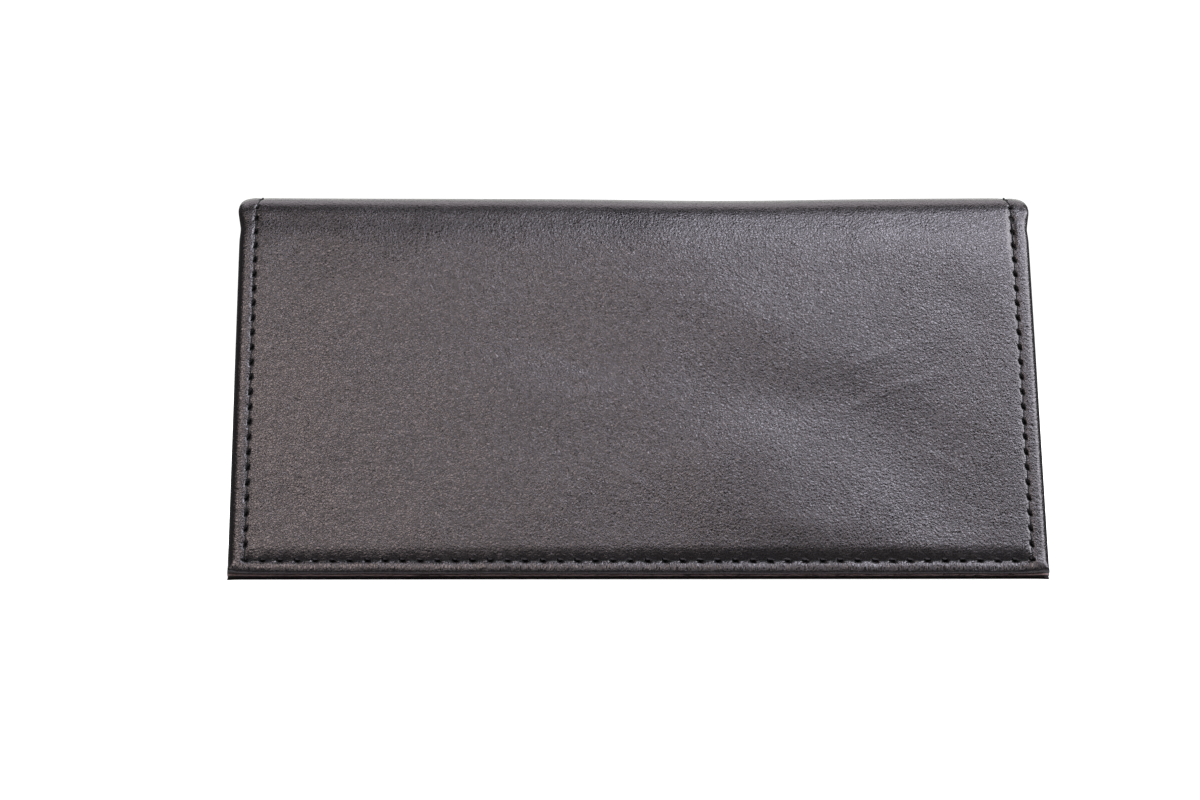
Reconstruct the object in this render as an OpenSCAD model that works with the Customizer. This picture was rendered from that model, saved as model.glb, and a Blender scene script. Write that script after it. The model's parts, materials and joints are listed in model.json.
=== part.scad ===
// Folding checkbook cover, standing like a tent on the bottom edges of its two panels.
// X runs along the fold, +Y is the rear, +Z is up, and the floor is z = 0.
// A panel is described hanging straight down from the fold's axis: u runs down from the
// end of the fold, and v runs inwards from the outer face of the leather.

/* [Cover] */
// Width of the cover along the fold
cover_w = 165; // [150:1:190]
// Height of the flat part of a panel, from the end of the fold to the bottom edge
panel_h = 84; // [78:0.5:105]
// Lean of each panel from upright as the cover stands
lean = 32; // [28:1:36]
// Outer radius of the fold as the cover stands
fold_r = 8.2; // [7.9:0.1:10]

/* [Leather] */
// Thickness of the outer leather
leather_t = 1.1; // [0.9:0.05:1.3]
// Thickness of the outer leather where it is pared and turned in
turn_t = 0.7; // [0.5:0.05:0.9]
// Width of the strip that is turned in along the edges
turn_w = 9; // [7:0.5:11]

/* [Board] */
// Thickness of the stiffening board in each panel
board_t = 0.8; // [0.6:0.05:1]
// Space between the upper end of the board and the end of the fold
board_back = 1; // [0.6:0.1:3]

/* [Lining] */
// Thickness of the lining cloth
lining_t = 0.35; // [0.25:0.05:0.45]

/* [Pockets] */
// Height of a pocket, from the bottom edge to its mouth
pocket_h = 70; // [55:0.5:74]
// Thickness of the pocket leather
pocket_t = 0.9; // [0.7:0.05:1]
// Thickness of the pocket leather where its edges are pared and turned under
pocket_turn_t = 0.7; // [0.5:0.05:0.8]
// Width of the turned edges of a pocket
pocket_turn_w = 8; // [6:0.5:10]
// Width of the hem along the mouth of a pocket
hem_w = 8; // [5:0.5:12]
// Thickness that the hem adds under the mouth of a pocket
hem_t = 0.4; // [0.2:0.05:0.4]

/* [Stitching] */
// Distance of the seam from the side edges
side_inset = 3.4; // [3:0.1:4.5]
// Distance of the seam from the bottom edge
bottom_inset = 2.5; // [2.3:0.1:4]
// Spacing of the stitches
stitch_pitch = 3.5; // [3.2:0.1:4.5]
// Length of a stitch that shows between two needle holes
stitch_l = 2.6; // [1.8:0.1:2.8]
// Width of the thread where it lies on the leather
thread_w = 0.5; // [0.3:0.05:0.7]
// Height of the thread above the leather
thread_h = 0.25; // [0.15:0.05:0.3]

/* [Clearances] */
// Space between two layers that lie on each other
layer_gap = 0.05; // [0.03:0.01:0.08]
// Space between the fold strip and the rounded leather edge that it turns against
fold_gap = 0.3; // [0.25:0.05:0.35]
// Depth to which the lowest edge is pressed flat by the floor
foot_cut = 0.15; // [0.1:0.05:0.2]

/* [Hidden] */
$fn = 48;
// Overshoot of a cut past the face that it opens
past = 1;
// Angle by which the curved part of a layer laps into its flat part
lap_angle = 0.3;

// Levels below the outer face of a panel
board_v = leather_t + layer_gap;
turn_v = board_v + board_t + layer_gap;
shell_t = turn_v + turn_t;
lining_v = board_v + board_t + layer_gap;
pocket_v = shell_t + layer_gap;
pocket_sheet_v = pocket_v + pocket_turn_t;
panel_t = pocket_sheet_v + pocket_t;
mouth_u = panel_h - pocket_h;

// The fold: its half angle, the hinge lines in the middle of each half, and its two skins
half_angle = 90 - lean;
hinge_angle = half_angle / 2;
hinge_r = fold_r - leather_t / 2;
hinge_local = hinge_angle + lean;
end_r = (leather_t + turn_t) / 2;
fold_turn_w = turn_w - layer_gap;
fold_lining_v = leather_t + layer_gap;
strip_angle = hinge_angle - asin((leather_t / 2 + fold_gap) / hinge_r);
thread_top = thread_h + layer_gap;

// Height of the fold's axis above the floor, from the lowest edge of a pocket
pocket_edge_r = (panel_t - pocket_v) / 2;
edge_drop = (panel_h - pocket_edge_r) * cos(lean) - (fold_r - panel_t + pocket_edge_r) * sin(lean);
axis_z = edge_drop + pocket_edge_r - foot_cut;

// Stitches: counts that fill each run of the seam
seam_x = cover_w / 2 - side_inset;
side_run = panel_h - bottom_inset;
side_count = round(side_run / stitch_pitch);
side_pitch = side_run / side_count;
bottom_count = round(2 * seam_x / stitch_pitch);
bottom_pitch = 2 * seam_x / bottom_count;

leather_colour = [0.08, 0.08, 0.085];
pocket_colour = [0.1, 0.1, 0.105];
lining_colour = [0.16, 0.16, 0.17];
board_colour = [0.55, 0.5, 0.42];
thread_colour = [0.03, 0.03, 0.03];

// Drawing aids

// A flat shape drawn in Y and Z becomes a bar of length w along X
module along_x(w) rotate([90, 0, 90]) linear_extrude(height = w, center = true) children();

// A curved band about the fold's axis, drawn in Y and Z between two angles from upright
module band(r_in, r_out, from_angle, to_angle) {
    reach = 2 * r_out;
    corners = [for (a = [from_angle, (from_angle + to_angle) / 2, to_angle]) reach * [sin(a), cos(a)]];
    intersection() {
        difference() {
            circle(r_out, $fn = 96);
            circle(r_in, $fn = 96);
        }
        polygon(concat([[0, 0]], corners));
    }
}

// A flat shape drawn in radius and X is turned about the fold's axis, from upright to the rear
module turned(from_angle, to_angle)
    rotate([0, -90, 0]) rotate([0, 0, from_angle])
        rotate_extrude(angle = to_angle - from_angle, $fn = 96) children();

// A block in a hanging panel, from its low corner and its size in x, u and v
module block(x0, x1, u0, u1, v0, v1)
    translate([x0, fold_r - v1, -u1]) cube([x1 - x0, v1 - v0, u1 - u0]);

// A block that is centred across the width
module sheet(half_w, u0, u1, v0, v1) block(-half_w, half_w, u0, u1, v0, v1);

// A slab whose side and bottom edges are round
module round_slab(w, u0, u1, v0, v1) {
    r = (v1 - v0) / 2;
    v_mid = fold_r - v0 - r;
    intersection() {
        along_x(w) {
            translate([v_mid - r, -u1 + r]) square([2 * r, u1 - u0 - r]);
            translate([v_mid, -u1 + r]) circle(r);
        }
        translate([0, v_mid, -u1]) linear_extrude(height = u1 - u0) {
            translate([-w / 2 + r, -r]) square([w - 2 * r, 2 * r]);
            for (side = [-1, 1]) translate([side * (w / 2 - r), 0]) circle(r);
        }
    }
}

// The rear panel's place, and the same thing mirrored for the front
module rear_place() translate([0, 0, axis_z]) rotate([lean, 0, 0]) children();
module front_place() mirror([0, 1, 0]) rear_place() children();

// The rear place with what lies below the floor cut away
module on_floor() {
    size = 2 * (cover_w + panel_h);
    difference() {
        rear_place() children();
        translate([-size / 2, -size / 2, -size]) cube([size, size, size]);
    }
}

// Leather of the fold in radius and X: the skin, and the strips turned in at its ends
module fold_section() {
    for (side = [0, 1]) mirror([0, side]) {
        translate([fold_r - leather_t, 0]) square([leather_t, cover_w / 2 - end_r]);
        translate([fold_r - 2 * end_r, cover_w / 2 - fold_turn_w]) square([2 * end_r, fold_turn_w - end_r]);
        translate([fold_r - end_r, cover_w / 2 - end_r]) circle(end_r);
    }
}

// Lining of the fold in radius and X, between the turned strips
module fold_lining_section() {
    half_w = cover_w / 2 - turn_w - layer_gap;
    translate([fold_r - fold_lining_v - lining_t, -half_w]) square([lining_t, 2 * half_w]);
}

// One stitch on the fold at a radius, centred on an angle
module fold_stitch(r, angle, side) {
    half = stitch_l / 2 / fold_r * 180 / PI;
    turned(angle - half, angle + half)
        translate([r, side * seam_x - thread_w / 2]) square([thread_h, thread_w]);
}

// Sub-parts of one panel, drawn hanging

module cover_panel() {
    inside = cover_w / 2 - leather_t;
    window = cover_w / 2 - turn_w;
    color(leather_colour) union() {
        difference() {
            round_slab(cover_w, 0, panel_h, 0, shell_t);
            sheet(inside, -past, panel_h - leather_t, leather_t, turn_v);
            sheet(window, -past, panel_h - turn_w, leather_t, shell_t + past);
        }
        turned(hinge_local, 90 + lap_angle) fold_section();
        translate([0, hinge_r * sin(hinge_local), hinge_r * cos(hinge_local)])
            rotate([0, 90, 0]) cylinder(h = cover_w - 2 * end_r, d = leather_t, center = true);
    }
}

module board_panel() {
    half_w = cover_w / 2 - leather_t - layer_gap;
    color(board_colour) sheet(half_w, board_back, panel_h - leather_t - layer_gap, board_v, board_v + board_t);
}

module lining_panel() {
    half_w = cover_w / 2 - turn_w - layer_gap;
    start = hinge_local + asin(leather_t / 2 / hinge_r);
    fold_lining_r = fold_r - fold_lining_v;
    color(lining_colour) along_x(2 * half_w) {
        band(fold_lining_r - lining_t, fold_lining_r, start, 90);
        translate([fold_r - lining_v - lining_t, -lining_t / 2])
            square([lining_v + lining_t - fold_lining_v + layer_gap / 2, lining_t]);
        translate([fold_r - lining_v - lining_t, turn_w + layer_gap - panel_h])
            square([lining_t, panel_h - turn_w - layer_gap]);
    }
}

module pocket_panel() {
    inside = cover_w / 2 - pocket_turn_w;
    color(pocket_colour) difference() {
        round_slab(cover_w, mouth_u, panel_h, pocket_v, panel_t);
        sheet(inside, mouth_u - past, mouth_u + hem_w + past, pocket_v - past, pocket_sheet_v - hem_t);
        sheet(inside, mouth_u + hem_w, panel_h - pocket_turn_w, pocket_v - past, pocket_sheet_v);
    }
}

// Stitches on the outer face, with one on the part of the fold that turns with the panel
module needle_thread_panel() {
    color(thread_colour) {
        for (side = [-1, 1]) {
            for (i = [0 : side_count - 1]) {
                u = (i + 0.5) * side_pitch;
                block(side * seam_x - thread_w / 2, side * seam_x + thread_w / 2,
                    u - stitch_l / 2, u + stitch_l / 2, -thread_top, -layer_gap);
            }
            fold_stitch(fold_r + layer_gap, (hinge_local + 90) / 2, side);
        }
        for (i = [0 : bottom_count - 1]) {
            x = -seam_x + (i + 0.5) * bottom_pitch;
            block(x - stitch_l / 2, x + stitch_l / 2, side_run - thread_w / 2, side_run + thread_w / 2,
                -thread_top, -layer_gap);
        }
    }
}

// Level of the inner face that a stitch lies on: the pocket's face, or the turned strip above it
function inner_face(u) = u + stitch_l / 2 > mouth_u - layer_gap ? panel_t : shell_t;

// Stitches on the inner face
module bobbin_thread_panel() {
    color(thread_colour) {
        for (side = [-1, 1]) {
            for (i = [0 : side_count - 1]) {
                u = (i + 0.5) * side_pitch;
                v = inner_face(u) + layer_gap;
                block(side * seam_x - thread_w / 2, side * seam_x + thread_w / 2,
                    u - stitch_l / 2, u + stitch_l / 2, v, v + thread_h);
            }
            fold_stitch(fold_r - 2 * end_r - thread_top, (hinge_local + 90) / 2, side);
        }
        for (i = [0 : bottom_count - 1]) {
            x = -seam_x + (i + 0.5) * bottom_pitch;
            block(x - stitch_l / 2, x + stitch_l / 2, side_run - thread_w / 2, side_run + thread_w / 2,
                panel_t + layer_gap, panel_t + thread_top);
        }
    }
}

// Rear panel

module rear_cover() rear_place() cover_panel();
module rear_board() rear_place() board_panel();
module rear_lining() rear_place() lining_panel();
module rear_pocket() on_floor() pocket_panel();
module rear_seam_thread() rear_place() needle_thread_panel();
module rear_bobbin_thread() rear_place() bobbin_thread_panel();

// Strip over the middle of the fold

module fold_place() translate([0, 0, axis_z]) children();

module fold_cover() {
    color(leather_colour) fold_place() turned(-strip_angle, strip_angle) fold_section();
}

module fold_lining() {
    color(lining_colour) fold_place() turned(-strip_angle, strip_angle) fold_lining_section();
}

module fold_seam_thread() {
    step = stitch_pitch / 2 / fold_r * 180 / PI;
    color(thread_colour) fold_place()
        for (side = [-1, 1]) {
            for (angle = [-step, step]) fold_stitch(fold_r + layer_gap, angle, side);
        }
}

module fold_bobbin_thread() {
    color(thread_colour) fold_place()
        for (side = [-1, 1]) fold_stitch(fold_r - 2 * end_r - thread_top, 0, side);
}

// Front panel

module front_cover() front_place() cover_panel();
module front_board() front_place() board_panel();
module front_lining() front_place() lining_panel();
module front_pocket() mirror([0, 1, 0]) on_floor() pocket_panel();
module front_seam_thread() front_place() needle_thread_panel();
module front_bobbin_thread() front_place() bobbin_thread_panel();

rear_cover();
rear_board();
rear_lining();
rear_pocket();
rear_seam_thread();
rear_bobbin_thread();
fold_cover();
fold_lining();
fold_seam_thread();
fold_bobbin_thread();
front_cover();
front_board();
front_lining();
front_pocket();
front_seam_thread();
front_bobbin_thread();
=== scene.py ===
"""Leather checkbook cover that stands like a tent on the bottom edges of its two panels.

A piece is laid out flat first. x runs along the fold, s runs over the outer face from the
middle of the fold down to the bottom edge, and v runs inwards from the outer face, all in
millimetres. place() then bends the flat layout over the fold and down a panel, in metres.
"""

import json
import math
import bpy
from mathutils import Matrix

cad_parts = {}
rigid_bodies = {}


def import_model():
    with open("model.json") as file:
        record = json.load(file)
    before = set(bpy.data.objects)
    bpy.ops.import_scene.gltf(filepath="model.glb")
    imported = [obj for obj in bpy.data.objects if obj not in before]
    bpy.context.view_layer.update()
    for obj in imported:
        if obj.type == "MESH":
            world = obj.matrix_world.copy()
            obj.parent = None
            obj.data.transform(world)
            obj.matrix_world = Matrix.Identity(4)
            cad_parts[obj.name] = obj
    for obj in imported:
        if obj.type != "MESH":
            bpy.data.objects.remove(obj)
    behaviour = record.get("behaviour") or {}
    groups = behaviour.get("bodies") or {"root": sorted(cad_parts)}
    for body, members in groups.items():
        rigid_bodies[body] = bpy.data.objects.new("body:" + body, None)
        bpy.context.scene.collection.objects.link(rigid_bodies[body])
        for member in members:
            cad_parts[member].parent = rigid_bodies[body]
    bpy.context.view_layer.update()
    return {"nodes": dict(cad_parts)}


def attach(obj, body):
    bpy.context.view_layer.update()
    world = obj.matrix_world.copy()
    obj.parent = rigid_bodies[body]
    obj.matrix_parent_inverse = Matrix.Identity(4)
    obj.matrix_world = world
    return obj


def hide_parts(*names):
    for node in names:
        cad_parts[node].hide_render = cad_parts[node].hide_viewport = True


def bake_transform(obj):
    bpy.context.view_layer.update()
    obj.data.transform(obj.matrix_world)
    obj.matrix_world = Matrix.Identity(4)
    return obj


bl_info = {
    "name": "Checkbook Cover",
    "version": (1, 0, 0),
    "blender": (4, 5, 0),
    "location": "View3D > Sidebar > Checkbook Cover",
    "description": "Builds a sewn leather checkbook cover over its fixed frame",
    "category": "Object",
}

from collections import namedtuple

import bpy
import numpy as np
from bpy.props import FloatProperty, FloatVectorProperty, IntProperty, PointerProperty
from mathutils import Euler, Vector, noise

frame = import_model()

MM = 0.001
SIDES = (("front", -1), ("rear", 1))

# Columns round the rim of a piece, and steps round its edge
LEATHER_SIDE = 312
POCKET_SIDE = 240
FOOT_COLUMNS = 552
LEATHER_ROUND = 12
POCKET_ROUND = 8

# How the rows behind the outer face are spaced in the hide map
ROUND_R = 1.35
INNER_STEP = 1.5

# A spot of the seam map that lies far from every stitch
FAR_FROM_SEAM = (0.5, 9.0)

SLIT_LEAN = 0.22
WELT_RISE = 0.12
GLUE_LINE = 0.05

COVER_GRAIN_DEPTH = 0.06
POCKET_GRAIN_DEPTH = 0.045
POCKET_GRAIN_SHARE = 0.85

# The camera's place in metres, its lens in millimetres, and how far it looks down and turns
# round the vertical, in degrees
CAMERA_SPOT = (-0.0217, -0.9974, 0.0666)
CAMERA_LENS = 141.9
CAMERA_DOWN = 1.85
CAMERA_TURN = -0.84

# The floor and the lights, in metres
FLOOR_R = 6.0
FLOOR_SIDES = 64
FLOOR_Z = -0.0002
LIGHT_DISTANCE = 1.2
LIGHT_TARGET = (0, 0, 0.04)

LIGHTS = (
    # name, azimuth from the front, elevation, width and height, watts, colour
    ("front_soft", -20, 59, (0.42, 0.26), 2.5, (1.0, 0.89, 0.83)),
    ("right_top_soft", 36, 69, (0.36, 0.34), 5.2, (0.86, 0.9, 1.0)),
    ("right_soft", 74, 52, (0.8, 0.5), 15.0, (0.92, 0.95, 1.0)),
    ("back_top_soft", 180, 62, (0.9, 0.5), 3.6, (1, 0.94, 1.0)),
    ("back_soft", 180, 32, (1.0, 0.6), 2.8, (1, 1, 0.97)),
)

CREASES = (
    # x, s, angle, length, depth of faint creases in the face of a panel
    (-12.0, 46.0, 12, 11, 0.05),
    (-8.0, 49.5, -14, 9, 0.05),
    (-17.0, 42.5, 24, 8, 0.035),
    (-57.0, 57.0, -48, 7, 0.045),
    (-53.5, 60.0, -58, 6, 0.04),
    (3.0, 23.0, 8, 13, 0.035),
    (9.0, 27.5, 5, 10, 0.03),
    (1.0, 71.0, 30, 9, 0.035),
    (50.0, 41.0, -24, 16, 0.05),
    (58.0, 47.0, -18, 12, 0.045),
    (44.0, 53.0, -30, 14, 0.04),
    (63.0, 66.0, 38, 9, 0.035),
)

SWELLS = (
    # x, s, angle, length, width, height of broad soft waves in the face of a panel
    (33.0, 46.0, 22, 46, 12.0, -0.4),
    (-14.0, 47.0, 8, 34, 9.0, 0.2),
    (12.0, 62.0, -12, 40, 9.0, 0.2),
    (-62.0, 22.0, -20, 30, 9.0, 0.12),
    (44.0, 66.0, 84, 40, 22.0, 0.5),
)


class CoverSizes(bpy.types.PropertyGroup):
    cover_w: FloatProperty(
        name="Width", description="Width of the cover along the fold", default=0.165, unit="LENGTH"
    )
    panel_h: FloatProperty(
        name="Panel height", description="From the end of the fold to the bottom edge",
        default=0.084, unit="LENGTH",
    )
    lean: FloatProperty(
        name="Lean", description="Lean of each panel from upright",
        default=math.radians(32), subtype="ANGLE",
    )
    fold_r: FloatProperty(
        name="Fold radius", description="Outer radius of the fold", default=0.0082, unit="LENGTH"
    )
    axis_z: FloatProperty(
        name="Fold axis height", description="Height of the fold's axis above the floor",
        default=0.0687435, unit="LENGTH",
    )
    leather_t: FloatProperty(
        name="Leather", description="Thickness of the outer leather", default=0.0011, unit="LENGTH"
    )
    turn_w: FloatProperty(
        name="Turned edge", description="Width of the leather turned in along the edges",
        default=0.009, unit="LENGTH",
    )
    turn_v: FloatProperty(
        name="Turned edge depth", description="Depth of the turned leather below the outer face",
        default=0.002, unit="LENGTH",
    )
    shell_t: FloatProperty(
        name="Shell", description="Thickness of a panel at its turned edge", default=0.0027, unit="LENGTH"
    )
    fold_t: FloatProperty(
        name="Fold edge", description="Thickness of the fold at its ends", default=0.0018, unit="LENGTH"
    )
    lining_t: FloatProperty(
        name="Lining", description="Thickness of the lining cloth", default=0.00035, unit="LENGTH"
    )
    pocket_h: FloatProperty(
        name="Pocket height", description="From the bottom edge to the mouth of a pocket",
        default=0.070, unit="LENGTH",
    )
    pocket_v: FloatProperty(
        name="Pocket back", description="Depth of the underside of a pocket", default=0.00275, unit="LENGTH"
    )
    panel_t: FloatProperty(
        name="Panel", description="Thickness of a whole panel", default=0.00435, unit="LENGTH"
    )
    hem_v: FloatProperty(
        name="Hem", description="Depth of the underside of a pocket's hem", default=0.00305, unit="LENGTH"
    )
    sheet_v: FloatProperty(
        name="Pocket sheet", description="Depth of the underside of a pocket's leather",
        default=0.00345, unit="LENGTH",
    )
    hem_w: FloatProperty(
        name="Hem width", description="Width of a pocket's turned edges", default=0.008, unit="LENGTH"
    )
    side_inset: FloatProperty(
        name="Side seam", description="Distance of the seam from a side edge", default=0.0034, unit="LENGTH"
    )
    bottom_inset: FloatProperty(
        name="Bottom seam", description="Distance of the seam from the bottom edge",
        default=0.0025, unit="LENGTH",
    )
    side_stitches: IntProperty(
        name="Side stitches", description="Stitches down one side of a panel", default=23
    )
    bottom_stitches: IntProperty(
        name="Bottom stitches", description="Stitches along the bottom of a panel", default=45
    )
    fold_stitches: IntProperty(
        name="Fold stitches", description="Stitches over one end of the fold", default=5
    )
    thread_d: FloatProperty(
        name="Thread", description="Diameter of the thread", default=0.00030, unit="LENGTH"
    )
    hole_l: FloatProperty(
        name="Needle slit", description="Length of a needle slit", default=0.0012, unit="LENGTH"
    )
    grain: FloatProperty(
        name="Grain", description="Size of the pebbles of the leather's grain",
        default=0.00047, unit="LENGTH",
    )


class CoverColours(bpy.types.PropertyGroup):
    leather: FloatVectorProperty(
        name="Leather", description="Black leather", default=(0.0036, 0.0031, 0.0033),
        size=3, min=0, max=1, subtype="COLOR",
    )
    leather_worn: FloatVectorProperty(
        name="Rubbed leather", description="Leather where it is rubbed thin",
        default=(0.0088, 0.006, 0.0054), size=3, min=0, max=1, subtype="COLOR",
    )
    edge: FloatVectorProperty(
        name="Rubbed edge", description="Leather folded over an edge", default=(0.018, 0.008, 0.0078),
        size=3, min=0, max=1, subtype="COLOR",
    )
    pocket: FloatVectorProperty(
        name="Pocket leather", description="Black leather of the pockets", default=(0.010, 0.0095, 0.010),
        size=3, min=0, max=1, subtype="COLOR",
    )
    lining: FloatVectorProperty(
        name="Lining", description="Charcoal lining cloth", default=(0.035, 0.035, 0.038),
        size=3, min=0, max=1, subtype="COLOR",
    )
    thread: FloatVectorProperty(
        name="Thread", description="Waxed black thread", default=(0.007, 0.007, 0.0075),
        size=3, min=0, max=1, subtype="COLOR",
    )
    board: FloatVectorProperty(
        name="Board", description="Grey-brown stiffening board", default=(0.42, 0.35, 0.26),
        size=3, min=0, max=1, subtype="COLOR",
    )


class Layout:
    """The sizes in millimetres, with the values that follow from them."""

    def __init__(self, p):
        self.half_w = p.cover_w / MM / 2
        self.fold_r = p.fold_r / MM
        self.lean = p.lean
        self.axis_z = p.axis_z / MM
        self.arc = self.fold_r * (math.pi / 2 - p.lean)
        self.foot_s = self.arc + p.panel_h / MM
        self.leather_t = p.leather_t / MM
        self.turn_w = p.turn_w / MM
        self.turn_v = p.turn_v / MM
        self.shell_t = p.shell_t / MM
        self.fold_t = p.fold_t / MM
        self.lining_t = p.lining_t / MM
        self.mouth_s = self.foot_s - p.pocket_h / MM
        self.pocket_v = p.pocket_v / MM
        self.panel_t = p.panel_t / MM
        self.hem_v = p.hem_v / MM
        self.sheet_v = p.sheet_v / MM
        self.hem_w = p.hem_w / MM
        self.side_inset = p.side_inset / MM
        self.bottom_inset = p.bottom_inset / MM
        self.seam_x = self.half_w - self.side_inset
        self.seam_s = self.foot_s - self.bottom_inset
        self.side_stitches = p.side_stitches
        self.side_pitch = (self.seam_s - self.arc) / p.side_stitches
        self.fold_stitches = p.fold_stitches
        self.fold_pitch = 2 * self.arc / p.fold_stitches
        self.bottom_stitches = p.bottom_stitches
        self.bottom_pitch = 2 * self.seam_x / p.bottom_stitches
        self.thread_r = p.thread_d / MM / 2
        self.hole_l = p.hole_l / MM
        self.grain = p.grain / MM

    def draw_in(self, s):
        """How far the side seams lean inwards where they cross the top of the fold."""
        return 1.1 * hill(np.asarray(s, float) / 3.2)

    def edge_depth(self, s):
        """Depth of the turned edge, which is thinner over the fold than down a panel."""
        return self.fold_t + (self.shell_t - self.fold_t) * smooth(self.arc - 2.2, self.arc + 0.6, s)


def smooth(a, b, t):
    """0 below a, 1 above b, and a smooth step between them."""
    t = np.clip((t - a) / (b - a), 0, 1)
    return t * t * (3 - 2 * t)


def hill(t):
    """1 at 0, and less on both sides in a smooth bell."""
    return np.exp(-(t**2))


def ripple(x, s, seed, size):
    """Gentle noise over the flat layout, from -1 to 1."""
    out = [noise.noise(Vector((a / size, b / size, seed))) for a, b in zip(np.ravel(x), np.ravel(s))]
    return np.array(out).reshape(np.shape(x))


def sag(L, x, s):
    """How far the empty middle of the fold sinks, the same for every layer."""
    middle = 0.2 * np.clip(1 - (x / 79) ** 2, 0, 1) ** 0.8
    dent = 0.4 * hill((x - 19) / 24)
    ends = 0.5 * smooth(L.half_w - 3.2, L.half_w + 0.6, np.abs(x))
    return (middle + dent + ends) * (1 - smooth(1.5, L.arc + 0.4, s))


def place(L, x, s, v, side):
    """Bends the flat layout over the fold and down one panel."""
    x, s, v = (np.asarray(k, float) for k in (x, s, v))
    v = v + sag(L, x, np.maximum(s, 0))
    angle = np.clip(s, None, L.arc) / L.fold_r
    down = np.maximum(s - L.arc, 0)
    r = L.fold_r - v
    y = r * np.sin(angle) + down * math.sin(L.lean)
    z = L.axis_z + r * np.cos(angle) - down * math.cos(L.lean)
    return np.stack([x, side * y, z], axis=-1) * MM


def side_count(L, s):
    """Stitch count down a side, whole at each needle hole and 0 at the end of the fold."""
    s = np.asarray(s, float)
    return np.where(s < L.arc, (s - L.arc) / L.fold_pitch, (s - L.arc) / L.side_pitch)


def neck(L, s):
    """How far the face lies back below the fold, where the leather leaves its arc slowly."""
    below = 1.2 * np.log1p(np.exp((s - L.arc) / 1.2))
    return smooth(0.5, L.arc + 1, s) * (0.6 * np.exp(-below / 4.5) + 0.28 * np.exp(-below / 2.0))


def near_fold(L, s):
    """1 just below the fold at the side seams, where the layers are pinched most."""
    return hill((s - L.arc - 3) / 6)


def between_sides(q_side):
    """1 inside the side seams, fading out over them."""
    return smooth(-1.2, 1.6, -q_side)


def foot_dip(x):
    """How deep the bottom seam pulls the face in: a little uneven, and most at the right."""
    uneven = 0.04 * np.sin(x / 3.7) + 0.03 * np.sin(x / 1.9 + 1)
    return 0.33 + 0.28 * hill((x - 35) / 55) + uneven


def foot_welt(L, x):
    """How far the face below the bottom seam lies back from the even face."""
    return (foot_dip(x) - WELT_RISE) * between_sides(np.abs(x) - L.seam_x)


def side_dip(end):
    """How deep a side seam pulls the face in; end is -1 at the left and 1 at the right."""
    return 0.12 * (1 + 0.35 * end)


def side_step(L, x, s):
    """How far the face outside the right seam lies back from the even face."""
    step = 0.1 + 0.1 * near_fold(L, s)
    return step * (np.asarray(x) > 0) * smooth(-0.9, 0.9, L.seam_s - s)


def face_relief(L, x, s, side):
    """Height of the outer face above its even surface: soft waves and faint creases."""
    seed = 3.1 if side < 0 else 8.7
    calm = smooth(0, 4, s) * smooth(0, 9, L.seam_x - np.abs(x)) * smooth(0, 9, L.seam_s - s)
    height = calm * (0.22 * ripple(x, s, seed, 33) + 0.07 * ripple(x, s, seed + 1, 11))

    def turned(centre_x, centre_s, angle):
        """Distances along and across a wave; the rear panel has the front's waves mirrored."""
        t = math.radians(-side * angle)
        dx, ds = x + side * centre_x, s - centre_s
        return dx * math.cos(t) + ds * math.sin(t), ds * math.cos(t) - dx * math.sin(t)

    for centre_x, centre_s, angle, length, width, rise in SWELLS:
        along, off = turned(centre_x, centre_s, angle)
        height += calm * rise * hill(along / (0.6 * length)) * off / width * hill(off / width)
    for centre_x, centre_s, angle, length, depth in CREASES:
        along, off = turned(centre_x, centre_s, angle)
        off = off + 0.05 * along * np.sin(along * 0.5)
        ridge = 1.1 * hill((off - 0.9) / 0.9)
        height += 1.5 * depth * hill(along / (0.55 * length)) * (ridge - hill(off / 0.55))
    return height - neck(L, s)


def bottom_relief(x, q_foot, sunk):
    """Depth of the face along the bottom seam."""
    slope = np.clip((q_foot + 3.3) / 3.3, 0, 1) ** 1.8
    if sunk:
        dip = foot_dip(x) * slope - WELT_RISE * smooth(0, 0.95, q_foot)
    else:
        dip = 0.16 * hill(q_foot / 0.9)
    above = hill(np.minimum(q_foot, 0) / 1.8) * (q_foot < 0)
    crumple = 0.08 * above * np.sin(x * 1.9 + 2 * np.sin(x / 5))
    return dip + crumple * slope


def side_relief(L, x, s, q_side, sunk):
    """Depth of the face along a side seam: a shoulder inside it and the rolled edge outside it."""
    pinch = 0.22 * (x > 0) * near_fold(L, s)
    shoulder = side_dip(np.sign(x)) * np.exp(np.minimum(q_side, 0) / 0.8)
    inward = shoulder + pinch * smooth(-1.3, -0.55, q_side)
    rest = side_step(L, x, s) if sunk else 0.0
    outward = rest + (inward - rest) * hill(q_side / 0.8)
    return np.where(q_side < 0, inward, outward)


def hole_relief(L, along, q):
    """Depth of the face at a needle hole: a faint groove, a funnel and a slit that leans."""
    groove = 0.03 * hill(q / 0.28)
    funnel = 0.08 * np.exp(-((along / 0.62) ** 2) - (q / 0.5) ** 2)
    in_length = 1 - smooth(0.36 * L.hole_l, 0.6 * L.hole_l, np.abs(along))
    in_width = 1 - smooth(0.2, 0.38, np.abs(q - SLIT_LEAN * along))
    return groove + funnel + 0.4 * in_length * in_width


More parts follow.
